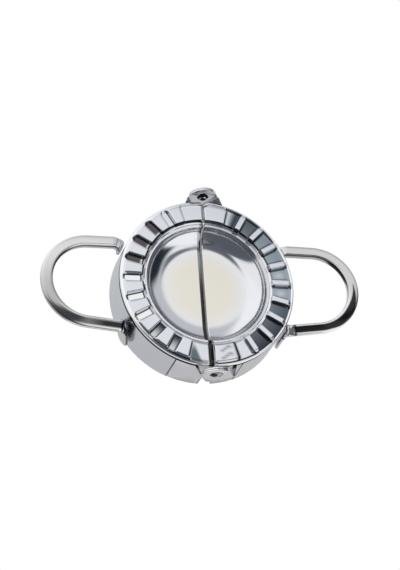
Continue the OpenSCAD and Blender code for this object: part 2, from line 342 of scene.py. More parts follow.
def rivet_tree():
    """Puts an outer and an inner head, and the shank between them, on one hinge."""
    tree, entry = shape_tree("Hinge rivet", {
        "Outer head": "Object", "Inner head": "Object", "Shank": "Object",
        "Outer": "Float", "Inner": "Float", "Height": "Float"})
    join = add(tree, "GeometryNodeJoinGeometry")
    for part, reach, turn in (("Outer head", "Outer", 0.0), ("Inner head", "Inner", math.pi),
                              ("Shank", "Inner", 0.0)):
        place = add(tree, "ShaderNodeCombineXYZ",
                    {"Y": entry.outputs[reach], "Z": entry.outputs["Height"]})
        point = add(tree, "GeometryNodePoints", {"Count": 1, "Position": place})
        shape = add(tree, "GeometryNodeObjectInfo", {"Object": entry.outputs[part]})
        put = add(tree, "GeometryNodeInstanceOnPoints",
                  {"Points": point, "Instance": shape.outputs["Geometry"],
                   "Rotation": (0.0, 0.0, turn)})
        tree.links.new(put.outputs[0], join.inputs[0])
    return end_tree(tree, entry, join)


def plain_mesh(thing):
    """The mesh that an object's modifiers make, which are then removed."""
    held = thing.evaluated_get(bpy.context.evaluated_depsgraph_get())
    mesh = bpy.data.meshes.new_from_object(held)
    thing.modifiers.clear()
    return mesh


def grown(thing, tree, inputs):
    """The plain mesh that a node tree makes of this object, in its place."""
    name = thing.name
    modifier = thing.modifiers.new(tree.name, "NODES")
    modifier.node_group = tree
    for item in tree.interface.items_tree:
        if item.item_type == "SOCKET" and item.in_out == "INPUT" and item.name in inputs:
            modifier[item.identifier] = inputs[item.name]
    bpy.context.view_layer.update()
    mesh = plain_mesh(thing)
    bpy.data.objects.remove(thing)
    mesh.name = name
    return placed(name, mesh)


# Materials

# Near-black of the painted shade and painted dark reflections in creases, hollows and along edges, and
# of the skirts' dark butt joints
PAINTED_DARK = linear("#1c1c20")
# Painted reflection on the ears' shoulders, and painted shade on the front rivet's head
SHOULDER_REFLECTION = linear("#86848e")
RIVET_SHADE = linear("#a6a5ad")
# Size of the handling marks in millimetres
SMEAR = 14


def empty_tree(owner):
    """The cleared node tree of a material or a world."""
    owner.use_nodes = True
    owner.node_tree.nodes.clear()
    return owner.node_tree


def mask(tree, *limits, kind="LINEAR"):
    """1 where every value is past its limits, each given as (value, 0 there, 1 there)."""
    steps = [add(tree, "ShaderNodeMapRange", {"Value": value, "From Min": none, "From Max": full},
                 interpolation_type=kind) for value, none, full in limits]
    out = steps[0]
    for step in steps[1:]:
        out = add(tree, "ShaderNodeMath", (out, step), operation="MULTIPLY")
    return out


def painted(tree, paint, covers):
    """Lays each (mask, colour) over the paint, one after another."""
    # The colour sockets of the mix node are its inputs 6 and 7 and its output 2
    for cover, shade in covers:
        paint = add(tree, "ShaderNodeMix", {"Factor": cover, 6: paint, 7: (*shade, 1)},
                    data_type="RGBA").outputs[2]
    return paint


def distance(tree, place, keep, x=0.0, z=0.0):
    """Distance from an axis through x and z, in the unit of the place: keep is 1 for each
    direction across the axis."""
    moved = add(tree, "ShaderNodeVectorMath", (place, (x, 0, z)), operation="SUBTRACT")
    across = add(tree, "ShaderNodeVectorMath", (moved, keep), operation="MULTIPLY")
    return add(tree, "ShaderNodeVectorMath", (across,), operation="LENGTH").outputs["Value"]


def hinge_shades(tree, place):
    """Painted reflections and painted shade on the ears and rivets, as (mask, colour). Limits are in
    millimetres.
    """
    place = add(tree, "ShaderNodeVectorMath", {0: place, "Scale": 1 / MM}, operation="SCALE")
    x, y, z = add(tree, "ShaderNodeSeparateXYZ", (place,)).outputs
    normal = add(tree, "ShaderNodeNewGeometry").outputs["True Normal"]
    up = add(tree, "ShaderNodeSeparateXYZ", (normal,)).outputs["Z"]
    middle = distance(tree, place, (1, 1, 0))
    rivet_axis = distance(tree, place, (1, 0, 1), z=RIM_H)
    glint = distance(tree, place, (1, 0, 1), x=0.5, z=RIM_H - 0.8)
    dash = distance(tree, place, (1, 0, 1), x=1.5, z=RIM_H + 0.6)
    front, back = (y, 0, -10), (y, 0, 10)
    return [
        # Painted reflection: the ears' flat shoulders are painted grey for the ring above them
        (mask(tree, (up, 0.5, 0.8), (z, 20.0, 20.5), (z, 23.6, 23.2)), SHOULDER_REFLECTION),
        # Painted shade: the front rivet's head is painted grey all round one small spot, which keeps
        # its highlight
        (mask(tree, front, (rivet_axis, HEAD_R + 0.3, HEAD_R + 0.1), (glint, 0.7, 1.3)),
         RIVET_SHADE),
        # Painted shade: a dark crescent at the lower left of that head, and a dark dash at its upper
        # right
        (mask(tree, front, (x, 0.3, -0.3), (z, RIM_H + 3.0, RIM_H + 2.2),
              (rivet_axis, 0.7, 1.0), (rivet_axis, 3.3, 3.0)), PAINTED_DARK),
        (mask(tree, front, (dash, 0.7, 0.4)), PAINTED_DARK),
        # Painted shade: a dark collar round the back rivet's head
        (mask(tree, back, (rivet_axis, 1.8, 2.0), (rivet_axis, 3.2, 3.0)), PAINTED_DARK),
        # Painted shade in the crease where an ear's shoulder meets the ring
        (mask(tree, (middle, 47.4, 47.1), (z, 21.6, 22.0)), PAINTED_DARK),
    ]


def painted_edge_lines(tree, radius):
    """Mask of thin painted dark lines along the edges: a painted reflection of the dark table edge in
    the polished corners.
    """
    soft = add(tree, "ShaderNodeBevel", {"Radius": radius * MM}, samples=6)
    flat = add(tree, "ShaderNodeNewGeometry").outputs["True Normal"]
    turn = add(tree, "ShaderNodeVectorMath", (soft, flat), operation="DOT_PRODUCT")
    return add(tree, "ShaderNodeMapRange", {"Value": turn.outputs["Value"], "From Min": 0.99,
                                            "From Max": 0.86, "To Max": 0.9})


def steel(name, tint, rough, grain, marks=0.0, edge=0.0):
    """Polished stainless steel sheet.

    Bright, cool and mirror-like. Fine buffing haze (grain, mm) softens what it mirrors,
    and faint handling marks vary the gloss. Real buffing lines are finer than a pixel, so
    the haze is as coarse as it needs to be to show. The pressed pieces carry a tone of
    painted reflections and painted shade; the hinges have painted dark lines of this width
    (edge, mm) along their edges, and painted reflections and shade on their faces."""
    made = bpy.data.materials.new(name)
    tree = empty_tree(made)
    place = add(tree, "ShaderNodeTexCoord").outputs["Object"]
    haze = add(tree, "ShaderNodeTexNoise", {"Vector": place, "Scale": 1 / (grain * MM),
                                            "Detail": 3.0, "Roughness": 0.6})
    smear = add(tree, "ShaderNodeTexNoise", {"Vector": place, "Scale": 1 / (SMEAR * MM),
                                             "Detail": 4.0, "Roughness": 0.55})
    gloss = add(tree, "ShaderNodeMapRange", {"Value": smear, "From Min": 0.3, "From Max": 0.75,
                                             "To Min": rough, "To Max": rough + 0.05 + marks})
    bump = add(tree, "ShaderNodeBump", {"Height": haze, "Strength": 0.05, "Distance": 0.02 * MM})
    # The marks also vary the tint a little
    dimmer = [part * 0.94 for part in tint]
    base = painted(tree, (*dimmer, 1), [(smear, tint)])
    if edge:
        # The hinges get painted reflections, painted shade and painted dark edge lines
        lines = (painted_edge_lines(tree, edge), PAINTED_DARK)
        base = painted(tree, base, [*hinge_shades(tree, place), lines])
    else:
        # The tone attribute holds painted reflections and painted shade
        tone = add(tree, "ShaderNodeAttribute", attribute_name="tone").outputs["Color"]
        base = add(tree, "ShaderNodeMix", {"Factor": 1.0, 6: base, 7: tone},
                   data_type="RGBA", blend_type="MULTIPLY").outputs[2]
    shader = add(tree, "ShaderNodeBsdfPrincipled", {
        "Base Color": base, "Roughness": gloss, "Normal": bump, "Metallic": 1.0})
    add(tree, "ShaderNodeOutputMaterial", (shader,))
    return made


def material(name):
    """A finish of the press, made on first use."""
    if name in bpy.data.materials:
        return bpy.data.materials[name]
    tint = {part: tuple(getattr(colours(), part)) for part in ("steel", "satin", "bar", "ear")}
    recipe = {
        # Mirror polish with a little haze: the crimp ring's flats and teeth
        "Mirror-polished stainless ring": dict(tint=tint["steel"], rough=0.07, grain=0.5),
        # Deep-drawn and buffed round: the smoothest surface of the press
        "Deep-drawn polished stainless bowl": dict(tint=tint["steel"], rough=0.1, grain=0.6),
        # Rolled sheet with a soft satin polish
        "Satin-polished stainless skirt": dict(tint=tint["satin"], rough=0.2, grain=0.35,
                                               marks=0.04),
        # Drawn bar, polished by hand
        "Polished stainless bar": dict(tint=tint["bar"], rough=0.16, grain=0.4),
        # Punched sheet with a soft polish, with painted dark lines along its edges
        "Polished stainless ear": dict(tint=tint["ear"], rough=0.2, grain=0.3, marks=0.04,
                                       edge=0.35),
        # Headed wire, tumbled bright, with painted shade and painted dark lines along its edges
        "Tumbled stainless rivet": dict(tint=tint["steel"], rough=0.1, grain=0.3, edge=0.3),
    }[name]
    return steel(name, **recipe)


# The crimp rings

# Level of the lands, and angle of their middle
LAND = 0.525
LAND_DEG = 82.5
# Levels of the left ring's last groove and of the right ring's first recess, which are a
# little less deep than the others
LAST_GROOVE, FIRST_RECESS = 0.04, 0.15
# Where the left grooves end, the radius of their outer corners, and how full a quarter
# circle these are
GROOVE_END = RIM_R - 1.9
CORNER = 1.3
CORNER_FULL = 0.92
# How far the lip falls as it rounds over, and the tuck and fall of its edge under it
LIP_FALL = 1.2
LIP_EDGE = ((0.1, 1.32), (0.55, 1.42))
# Width of the slope at the outer end of the teeth, and how much higher the left lip is
TOOTH_END = 1.45
HIGHER_LIP = 0.2
# Where a wall beside a tooth is cut, from its one side to the other
WALL_STEPS = (-1, -0.85, -0.7, -0.5, -0.3, -0.1, 0.1, 0.3, 0.5, 0.7, 0.85, 1)
# Columns across a land, and across a tooth or a groove
LAND_STEPS, TOOTH_STEPS = 14, 6
# Lowest row of the ring, just over the plate's underside
FOOT_Z = RING_UNDER + 0.03
# Radius in plan of the corners where the rim meets the seam, at the front and the back
CORNER_R = {-1: 0.8, 1: 2.2}
# Width of the lip, and the width over which the wave of the inner edge dies out
LIP_W, WAVE_W = 1.5, 5


def ring_rows(side):
    """Rows of the ring from its inner edge out: radius, base height, rise, and the
    direction that the sheet faces there."""
    roll, drop = sizes().inner_roll / MM, FLOOR_Z - RING_UNDER - 0.05
    lip = (sizes().lip_left if side == LEFT else sizes().lip_right) / MM
    # The inner edge rolls up to the floor of the grooves
    rows = [(RING_R, FOOT_Z, 0.0, -1.0, 0.0)]
    for i in range(7):
        a = math.radians(15 * i)
        c, s = math.cos(a), math.sin(a)
        rows.append((RING_R + roll * (1 - c), FLOOR_Z - drop * (1 - s), 1.0,
                     *Vector((-c / roll, s / drop)).normalized()))
    fall_start, lip_start = RIM_R - lip - TOOTH_END, RIM_R - lip
    # The left teeth and grooves run out into a higher lip, the right teeth end at theirs
    lip_z = LIP_Z + (HIGHER_LIP if side == LEFT else 0.0)
    for i in range(1, 10):
        rows.append((blend(RING_R + roll, fall_start, i / 9), FLOOR_Z, 1.0, 0.0, 1.0))
    for i in range(1, 9):
        r = blend(fall_start, lip_start, i / 8)
        base = FLOOR_Z + (lip_z - FLOOR_Z) * ease(i / 8)
        fall = (i / 8) ** 2 if side == LEFT else ease((i + 0.4) / 5.0)
        top = TOOTH_Z - (TOOTH_Z - lip_z) * fall
        rows.append((r, base, (top - base) / (TOOTH_Z - FLOOR_Z), 0.0, 1.0))
    # The lip rounds over, and its edge turns in under it
    for i in range(1, 10):
        a = math.radians(10 * i)
        s, c = math.sin(a), math.cos(a)
        square = (s ** 3 + c ** 3) ** (-1 / 3)
        rows.append((lip_start + lip * s * square, blend(LIP_Z - LIP_FALL, lip_z, c * square),
                     0.0, *Vector((s * s, c * c)).normalized()))
    for tuck, fall in LIP_EDGE:
        rows.append((RIM_R - tuck, LIP_Z - fall, 0.0, 0.8, -0.6))
    return rows


def line_angle(line, radius):
    """Polar angle of the point where a line (angle, shift) meets a radius. Grooves and teeth
    have round outer corners, so that they still fit each other."""
    angle, shift = line
    over = min(1.0, max(0.0, (radius - GROOVE_END + CORNER) / CORNER))
    shift -= math.copysign(CORNER * (1 - math.sqrt(1 - CORNER_FULL * over * over)), shift)
    return math.radians(angle) + math.asin(shift / radius)


def ring_regions(side):
    """Walls of the ring from front to back as (angle, shift), and the level of each
    region between them."""
    edge = (GROOVE_W if side == LEFT else TOOTH_W) / 2
    inside, outside = (0.0, 1.0) if side == LEFT else (1.0, 0.0)
    walls, levels = [(-5 * PITCH, edge)], [LAND, outside]
    for k in range(-4, 5):
        walls += [(k * PITCH, -edge), (k * PITCH, edge)]
        levels += [LAST_GROOVE if side == LEFT and k == 4 else inside, outside]
    walls.append((5 * PITCH, -edge))
    levels.append(LAND)
    if side == RIGHT:
        levels[1] = FIRST_RECESS
    return walls, levels


# Tones of the crimped steel: painted reflections and painted shade on the teeth, in the pockets and
# along the edges
CLEAR = linear("#ffffff")
TOOTH = linear("#e9ecf1")
WALL_FOOT_SHADE = linear("#5f6269")
UMBER = linear("#5d5858")
TEAL = linear("#5c6a6e")
POOL = linear("#2c393f")
HAZE = linear("#9caab3")
MIST = linear("#8f9da5")
SLATE = linear("#414e5c")
NIGHT = linear("#353d47")
STROKE = linear("#6f7274")
SEAM_REFLECTION_FRONT = linear("#4c4c4e")
SEAM_REFLECTION_BACK = linear("#b4b4b6")

# Painted reflections in the pockets round each ring, from the front of the seam (-90) to its back (90)
POCKET_REFLECTIONS = {
    LEFT: ((-75, CLEAR), (-64, POOL), (-42, POOL), (-34, CLEAR), (8, CLEAR), (14, UMBER),
           (47, UMBER), (57, TOOTH)),
    RIGHT: ((-69, TOOTH), (-60, TOOTH), (-54, NIGHT), (-24, SLATE), (-10, HAZE), (10, HAZE),
            (24, MIST), (36, MIST), (50, TEAL), (64, SLATE)),
}


def mixed(one, other, share):
    """A share of the way from one colour to the other."""
    return tuple(blend(a, b, share) for a, b in zip(one, other))


def pocket_reflection(side, angle):
    """Painted reflection in the pocket at this angle."""
    stops = POCKET_REFLECTIONS[side]
    if angle <= stops[0][0]:
        return stops[0][1]
    for (a, one), (b, other) in zip(stops, stops[1:]):
        if angle <= b:
            return mixed(one, other, (angle - a) / (b - a))
    return stops[-1][1]


def level_at(column):
    """Height of the ring across a wall, 0 in a groove and 1 on a tooth."""
    share = 0.5 + 0.5 * math.sin(math.pi / 2 * column["side"])
    return blend(column["before"], column["after"], share)


def lip_tone(side, angle, reach, y, nz):
    """The lip stays bright, and painted shade darkens the crease under it, sooner at the back, where
    the crease is out of sight. The left end of the press keeps no such painted line."""
    limit = blend(-0.1, 0.55, ease((y - 8) / 20))
    here = 1.0 if side == RIGHT else max(ease((-y - 8) / 10), ease((y - 18) / 10))
    dark = here * ease((limit - nz) / 0.25 + 0.5)
    if side == LEFT:
        # A painted black line, painted shade, at the outer end of the tooth beside the front land
        dark = max(dark, between(angle, -70, -52, 4) * between(reach, 0.9, 1.06, 0.04))
    else:
        # A painted black line, painted shade, where the front land meets the lip
        dark = max(dark, ease((-52 - angle) / 4) * between(reach, 0.9, 1.04, 0.03))
    return mixed(CLEAR, PAINTED_DARK, dark)


def land_tone(side, share, reach):
    """Tone of a front land, with painted shade: share is 0 at the seam and 1 at the first wall."""
    if side == LEFT:
        # Painted shade: a soft dark wedge beside the wall, wider towards the lip, and a painted shade
        # at the lip
        wedge = between(share, 0.93 - 0.62 * reach, 1.6, 0.22) * ease(reach * 1.6 + 0.1)
        shade = 0.45 * ease((reach - 0.8) / 0.2)
        return mixed(TOOTH, TEAL, max(0.95 * wedge, shade))
    # Two soft wavy strokes across the right land
    stroke = sum(math.exp(-((reach - middle - 0.09 * math.sin(7 * share)) / 0.07) ** 2)
                 for middle in (0.3, 0.68))
    strength = 0.75 * min(1.0, stroke) * between(share, 0.22, 0.8, 0.2)
    tone = mixed(TOOTH, STROKE, strength)
    # Painted shade where the land meets the first wall
    return mixed(tone, PAINTED_DARK, ease((share - 0.9) / 0.08))


def inner_shade_line(side, angle):
    """How strongly the painted dark line, painted shade, along the ring's inner edge shows."""
    if side == LEFT:
        return ease((angle + 45) / 30)
    return 0.85 * ease((angle + 10) / 40) + 0.25 * ease((-10 - angle) / 20)


def ring_tone(side, column, reach):
    """Tone of the ring at one point: reach is 0 at the inner edge and 1 at the lip."""
    tone = pocket_tone(side, column, reach)
    # Painted shade along the inner edge
    tone = mixed(tone, PAINTED_DARK, inner_shade_line(side, column["angle"]) * ease((0.1 - reach) / 0.04))
    # A painted dark line, painted shade, along the lip of the right ring's front
    if side == RIGHT and column["angle"] < -55:
        tone = mixed(tone, PAINTED_DARK, ease((reach - 0.95) / 0.03))
    return tone


def pocket_tone(side, column, reach):
    """Tone of the ring's teeth, pockets and lands, with painted reflections and painted shade."""
    low = min(column["before"], column["after"])
    high = max(column["before"], column["after"])
    if column["angle"] == -LAND_DEG and not column["side"]:
        return land_tone(side, column["share"], reach)
    # The right ring's first wall is painted black, painted shade
    if side == RIGHT and column.get("first"):
        return PAINTED_DARK
    if low > 0.1:
        return TOOTH
    if column["side"] and high > 0.1:
        # A thin painted dark line, painted shade, along the foot of the wall, then the tooth's own
        # tone
        up = level_at(column) / high
        return mixed(WALL_FOOT_SHADE, TOOTH, ease((up - 0.08) / 0.3))
    if high > 0.1 and level_at(column) > 0.1:
        return TOOTH
    angle, across = column["angle"], column["share"]
    tone = pocket_reflection(side, angle)
    if side == LEFT and angle < -35:
        # Painted reflection: dark at the inner end, clearing towards the lip
        return mixed(tone, CLEAR, 0.75 * ease(reach * 1.15 - 0.1))
    if side == LEFT and 5 < angle < 55:
        # Painted highlight at the inner end
        return mixed(CLEAR, tone, ease(reach / 0.16 - 0.4))
    if side == RIGHT and angle > 60:
        # Painted reflection: the last pocket clears towards the seam
        return mixed(tone, TOOTH, ease(across * 1.5 - 0.4))
    if side == RIGHT and abs(angle) < 15:
        # A soft painted glint, a painted highlight, in the middle of the pocket
        glint = math.exp(-((reach - 0.45) / 0.28) ** 2 - ((across - 0.45) / 0.3) ** 2)
        return mixed(tone, CLEAR, 0.4 * glint)
    # Painted reflection, a little lighter towards the inner end
    return mixed(tone, CLEAR, 0.12 * (1 - reach))


def turned(run, roll, lean=25.0):
    """Section of an edge that slopes down and turns under: distance to the seam, drop, lean."""
    lean = math.radians(lean)
    big = run / math.sin(lean)
    rest = roll * (1 - math.sin(lean))
    out = []
    for i in range(6):
        a = lean * i / 6
        out.append((rest + run - big * math.sin(a), big * (1 - math.cos(a)), a))
    fall = big * (1 - math.cos(lean))
    for i in range(7):
        a = blend(lean, math.pi / 2, i / 6)
        out.append((roll * (1 - math.sin(a)), fall + roll * (math.cos(lean) - math.cos(a)), a))
    return out


# How wide the left seam's slope is in the bowl (0) and at the front and back of the ring
SLOPE = {-1: 1.5, 0: 1.0, 1: 0.5}


def seam_turn(side, end=0):
    """The seam's edge in the bowl (end 0) and at the front (-1) and back (1) of a ring."""
    if side == RIGHT:
        return turned(sizes().seam_run_right / MM, sizes().seam_roll / MM)
    return turned(sizes().seam_run_left / MM * SLOPE[end], sizes().seam_roll / MM)


def seam_tone(side, lean, y):
    """The left edge carries a painted dark reflection towards the front, the right one stays bright.
    """
    if side == RIGHT or lean <= 0.02:
        return None
    return mixed(SEAM_REFLECTION_FRONT, SEAM_REFLECTION_BACK, ease((y + 2) / 20))


def ring_columns(walls, levels, turns):
    """Columns of the ring from the front of the seam to its back. One at the seam has its
    own x, drop and lean, and any other lies between two lines of the pattern."""
    half = sizes().wall_w / MM

    def at_seam(sign, step, low=False):
        level = levels[0 if sign < 0 else -1]
        return dict(x=HALF_GAP + step[0], drop=step[1], lean=step[2], sign=sign, low=low,
                    side=0.0, before=level, after=level, angle=90.0 * sign, share=0.5)

    middle = [blend(a[0], b[0], 0.5) for a, b in zip(walls, walls[1:])]
    middle = [-LAND_DEG, *middle, LAND_DEG]
    columns = [at_seam(-1, turns[-1][-1], low=True)]
    columns += [at_seam(-1, step) for step in turns[-1][::-1]]
    start = ("seam", -1)
    for n, level in enumerate(levels):
        last = n == len(walls)
        end = ("seam", 1) if last else (walls[n][0], walls[n][1] - half)
        count = LAND_STEPS if n == 0 or last else TOOTH_STEPS
        columns += [dict(lines=(start, end), t=i / count, side=0.0, before=level, after=level,
                         angle=middle[n], share=i / count) for i in range(1, count)]
        if last:
            break
        angle, shift = walls[n]
        columns += [dict(lines=((angle, shift + half * u),) * 2, t=0.0, side=u, before=level,
                         after=levels[n + 1], angle=middle[n if u < 0 else n + 1],
                         share=1.0 if u < 0 else 0.0, first=n == 0) for u in WALL_STEPS]
        start = (angle, shift + half)
    columns += [at_seam(1, step) for step in turns[1]]
    columns.append(at_seam(1, turns[1][-1], low=True))
    return columns


def crimp_ring(side):
    """One crimp ring: a closed sheet with its teeth, grooves, lip and turned-down edges."""
    turns = {sign: seam_turn(side, sign) for sign in (-1, 1)}
    rows = ring_rows(side)
    thick, wave = sizes().sheet / MM, sizes().wave / MM

    def line_turn(line, r):
        """Angle of a line of the pattern, or of the seam's edge, at this radius."""
        if line[0] == "seam":
            return line[1] * math.acos((HALF_GAP + turns[line[1]][0][0]) / r)
        return line_angle(line, r)

    top, bottom, tones = [], [], []
    marks = {name: [] for name in MARKS}
    for column in ring_columns(*ring_regions(side), turns):
        upper, lower = [], []
        seam, low, lean = "x" in column, column.get("low"), column.get("lean", 0.0)
        for r, base, rise, nr, nz in rows:
            if seam:
                angle = column["sign"] * math.acos(column["x"] / r)
            else:
                start, end = (line_turn(line, r) for line in column["lines"])
                angle = blend(start, end, column["t"])
            corner = CORNER_R[1 if angle > 0 else -1]
            inside = max(0.0, HALF_GAP + corner - RIM_R * math.cos(angle))
            cut = corner - math.sqrt(max(0.0, corner ** 2 - min(corner, inside) ** 2))
            place = RING_R + (r - RING_R) * (RIM_R - cut - RING_R) / (RIM_R - RING_R)
            place += wave * (1 - level_at(column)) * max(0.0, 1 - (r - RING_R) / WAVE_W)
            if seam:
                angle = column["sign"] * math.acos(column["x"] / place)
            z = FOOT_Z if low else max(base - column.get("drop", 0.0), FOOT_Z)
            c, s = math.cos(angle), math.sin(angle)
            upper.append((place * c, place * s, z))
            inner = place - nr * thick
            depth = z if low else z - nz * thick * math.cos(lean)
            lower.append((inner * c + thick * math.sin(lean), inner * s, max(depth, RING_UNDER)))
            for name in MARKS[:3]:
                marks[name].append(column[name])
            marks["rise"].append(0.0 if low else rise)
            reach = (r - RING_R) / (RIM_R - LIP_W - RING_R)
            tone = seam_tone(side, lean, place * s)
            if tone is None and reach > 1:
                tone = lip_tone(side, column["angle"], reach, place * s, nz)
            tones.append(tone or ring_tone(side, column, reach))
        top.append(upper)
        bottom.append(lower)
    points, faces = shell(top, bottom)
    ring = mesh_object(f"{SIDE[side]}_crimp_ring", points, faces,
                       {name: values * 2 for name, values in marks.items()}, tones * 2,
                       flip=side == LEFT)
    finish = material("Mirror-polished stainless ring")
    ring = grown(ring, crimp_tree(), {"Tooth height": (TOOTH_Z - FLOOR_Z) * MM, "Steel": finish})
    outward(ring)
    crease(ring, 50)
    return dress(ring, finish, side, "ring_steel", f"{SIDE[side]}_crimp_plate")


# The bowls

CREAM = linear("#f2eee1")
PALE = linear("#f3f4f7")
SHADE = linear("#85888d")
# The ledge under the ring: its width, the height of its two beads, its fall, and the radius
# of its round into the bowl
LEDGE_W, BEAD_H, LEDGE_FALL = 1.9, 0.17, 0.1
LEDGE_ROUND = 0.9
# Columns round a half bowl, and rows from the edge of its flat floor to the seam's middle
BOWL_COLUMNS, FLOOR_ROWS = 112, 16


def bowl_rows():
    """Rows of the bowl from its brim in: radius, height, and the way it faces."""
    brim = RING_UNDER - 0.02
    rows = [(RING_R + 4.0, brim, 0.0, 1.0), (RING_R - 0.1, brim, 0.0, 1.0)]
    # Two fine beads pressed into the ledge
    for step in range(1, 13):
        r = RING_R - 0.1 - LEDGE_W * step / 12
        wave = math.cos(4 * math.pi * step / 12)
        slope = math.sin(4 * math.pi * step / 12)
        z = brim - BEAD_H * (1 - wave) - LEDGE_FALL * step / 12
        rows.append((r, z, -0.7 * slope, 0.8))
    # The round from the ledge into the bowl, and the bowl's own curve
    centre = (BOWL_R + LEDGE_ROUND + 0.1, brim - 0.12 - LEDGE_ROUND)
    for r, z in arc(centre, LEDGE_ROUND, 80, 180, 8):
        rows.append((r, z, (r - centre[0]) / LEDGE_ROUND, (z - centre[1]) / LEDGE_ROUND))
    centre = (BOWL_R - CURVE_W, BOWL_Z + CURVE_H)
    for r, z in oval(centre, CURVE_W, CURVE_H, 0, -90, 32):
        nr, nz = (centre[0] - r) / CURVE_W ** 2, (centre[1] - z) / CURVE_H ** 2
        size = math.hypot(nr, nz)
        rows.append((r, z, nr / size, nz / size))
    return rows


def bowl_tone(side, x, y):
    """Warm in the flat floor, plain on the curve. At the back of the right bowl a painted dark patch,
    a painted reflection, reaches the seam."""
    tone = mixed(CREAM, PALE, ease((math.hypot(x, y) - 11) / 14))
    if side == RIGHT:
        patch = between(y, 25.0, blend(28.6, 26.4, ease(x / 7)), 1.2) * ease((9 - x) / 4)
        tone = mixed(tone, SHADE, patch)
    return tone


def half_bowl(side):
    """One half bowl with its beaded ledge, and its edge turned down at the seam."""
    thick = sizes().sheet / MM
    rows = bowl_rows()
    turn = seam_turn(side)
    edge = HALF_GAP + turn[0][0]
    floor = rows[-1][1]
    grid, tones = [], []
    for i in range(BOWL_COLUMNS + 1):
        column = []
        for r, z, nr, nz in rows:
            limit = math.acos(edge / r)
            angle = blend(-limit, limit, i / BOWL_COLUMNS)
            column.append((r * math.cos(angle), r * math.sin(angle), z,
                           nr * math.cos(angle), nr * math.sin(angle), nz))
        x, y = column[-1][:2]
        for k in range(1, FLOOR_ROWS + 1):
            share = 1 - k / FLOOR_ROWS
            column.append((edge + (x - edge) * share, y * share, floor, 0.0, 0.0, 1.0))
        grid.append(column)
        tones.append([bowl_tone(side, *point[:2]) for point in column])

    def rolled(column):
        """Columns of the edge that turns down at the seam, from this column on."""
        steps = turn[1:] + [(0.0, turn[-1][1] + 0.35, turn[-1][2])]
        strips, shades = [], []
        for reach, drop, lean in steps:
            c, s = math.cos(lean), math.sin(lean)
            strip = []
            for x, y, z, nx, ny, nz in column:
                out = math.copysign(math.hypot(nx, ny), ny)
                strip.append((HALF_GAP + reach, y - out * drop, z - nz * drop,
                              -s, out * c, nz * c))
            strips.append(strip)
            shades.append([seam_tone(side, lean, y) or bowl_tone(side, x, y)
                           for x, y, *_ in column])
        return strips, shades

    front, front_tones = rolled(grid[0])
    back, back_tones = rolled(grid[-1])
    grid = front[::-1] + grid + back
    tones = front_tones[::-1] + tones + back_tones
    top = [[p[:3] for p in column][::-1] for column in grid]
    bottom = [[(x - nx * thick, y - ny * thick, z - nz * thick)
               for x, y, z, nx, ny, nz in column][::-1] for column in grid]
    points, faces = shell(top, bottom, pole=True)
    tones = [tone for column in tones for tone in column[::-1]] * 2
    bowl = mesh_object(f"{SIDE[side]}_half_bowl", points, faces, tones=tones, flip=side == LEFT)
    outward(bowl)
    crease(bowl, 60)
    return dress(bowl, material("Deep-drawn polished stainless bowl"), side, "bowl_steel",
                 f"{SIDE[side]}_bowl")


# The skirts

SKIRT_GREY = linear("#f4f4f7")
SKIRT_BLUE = linear("#f6fbff")
SKIRT_T = 0.7
SKIRT_STEPS = 96
# The skirt's two edges: angle from the end of the sheet, how far it is tucked in, how dark
SKIRT_ENDS = ((0.04, 0.18, 1.0), (0.1, 0.05, 1.0), (0.2, 0.0, 1.0), (0.5, 0.0, 0.9),
              (0.7, 0.0, 0.0))


def skirt_profile():
    """Section of the skirt, all round: radius and height."""
    flare = (SKIRT_R - RIM_R) / RING_UNDER

    def out(z):
        return SKIRT_R - flare * z

    # From the joint under the lip down the outside, round the cutting edge, and up inside
    line = [(RIM_R - 0.62, RING_UNDER), (RIM_R - 0.35, RING_UNDER - 0.03),
            (RIM_R - 0.12, RING_UNDER - 0.15)]
    line += [(out(RING_UNDER - drop), RING_UNDER - drop) for drop in (0.5, 0.9, 1.2)]
    line += [(out(z), z) for z in (20, 16, 12, 8, 4, 1.0, 0.35)]
    line += [(out(0.1) - 0.08, 0.08), (out(0) - 0.2, 0.0), (out(0) - SKIRT_T + 0.15, 0.0),
             (out(0.15) - SKIRT_T, 0.15)]
    line += [(out(z) - SKIRT_T, z) for z in (6, 12, 18, RING_UNDER - 0.1)]
    return line


def skirt(side):
    """One flared skirt, swept round from its front edge to its back edge."""
    front = LEFT_FRONT_DEG if side == LEFT else BAND_DEG
    start, end = front - 90, 90 - BAND_DEG
    edge = SKIRT_ENDS[-1][0]
    stations = [(start + a, tuck, dark) for a, tuck, dark in SKIRT_ENDS]
    stations += [(blend(start + edge, end - edge, i / SKIRT_STEPS), 0.0, 0.0)
                 for i in range(1, SKIRT_STEPS)]
    stations += [(end - a, tuck, dark) for a, tuck, dark in SKIRT_ENDS[::-1]]
    profile = skirt_profile()
    sections, tones = [], []
    for angle, tuck, dark in stations:
        c, s = math.cos(math.radians(angle)), math.sin(math.radians(angle))
        sections.append([((r - tuck) * c, (r - tuck) * s, z) for r, z in profile])
        # Painted shade darkens the crease under the lip, and the butt joint keeps a dark line; the
        # left skirt turns a little bluer away from the front, a painted reflection
        plain = mixed(SKIRT_GREY, SKIRT_BLUE, ease((angle + 50) / 40) if side == LEFT else 0.0)
        tones += [mixed(plain, PAINTED_DARK, max(dark, ease((z - RING_UNDER + 1.2) / 0.3)))
                  for r, z in profile]
    points, faces = swept(sections)
    shape = mesh_object(f"{SIDE[side]}_skirt_shell", points, faces, tones=tones,
                        flip=side == LEFT)
    outward(shape)
    crease(shape, 40)
    return dress(shape, material("Satin-polished stainless skirt"), side, "skirt_steel",
                 f"{SIDE[side]}_skirt")


# The handles

# The bow's radius, its centre's distance from the rim, and how far it lies below the rim
BOW_R, BOW_C, BAR_DROP = 21.9, 13.8, 8.7
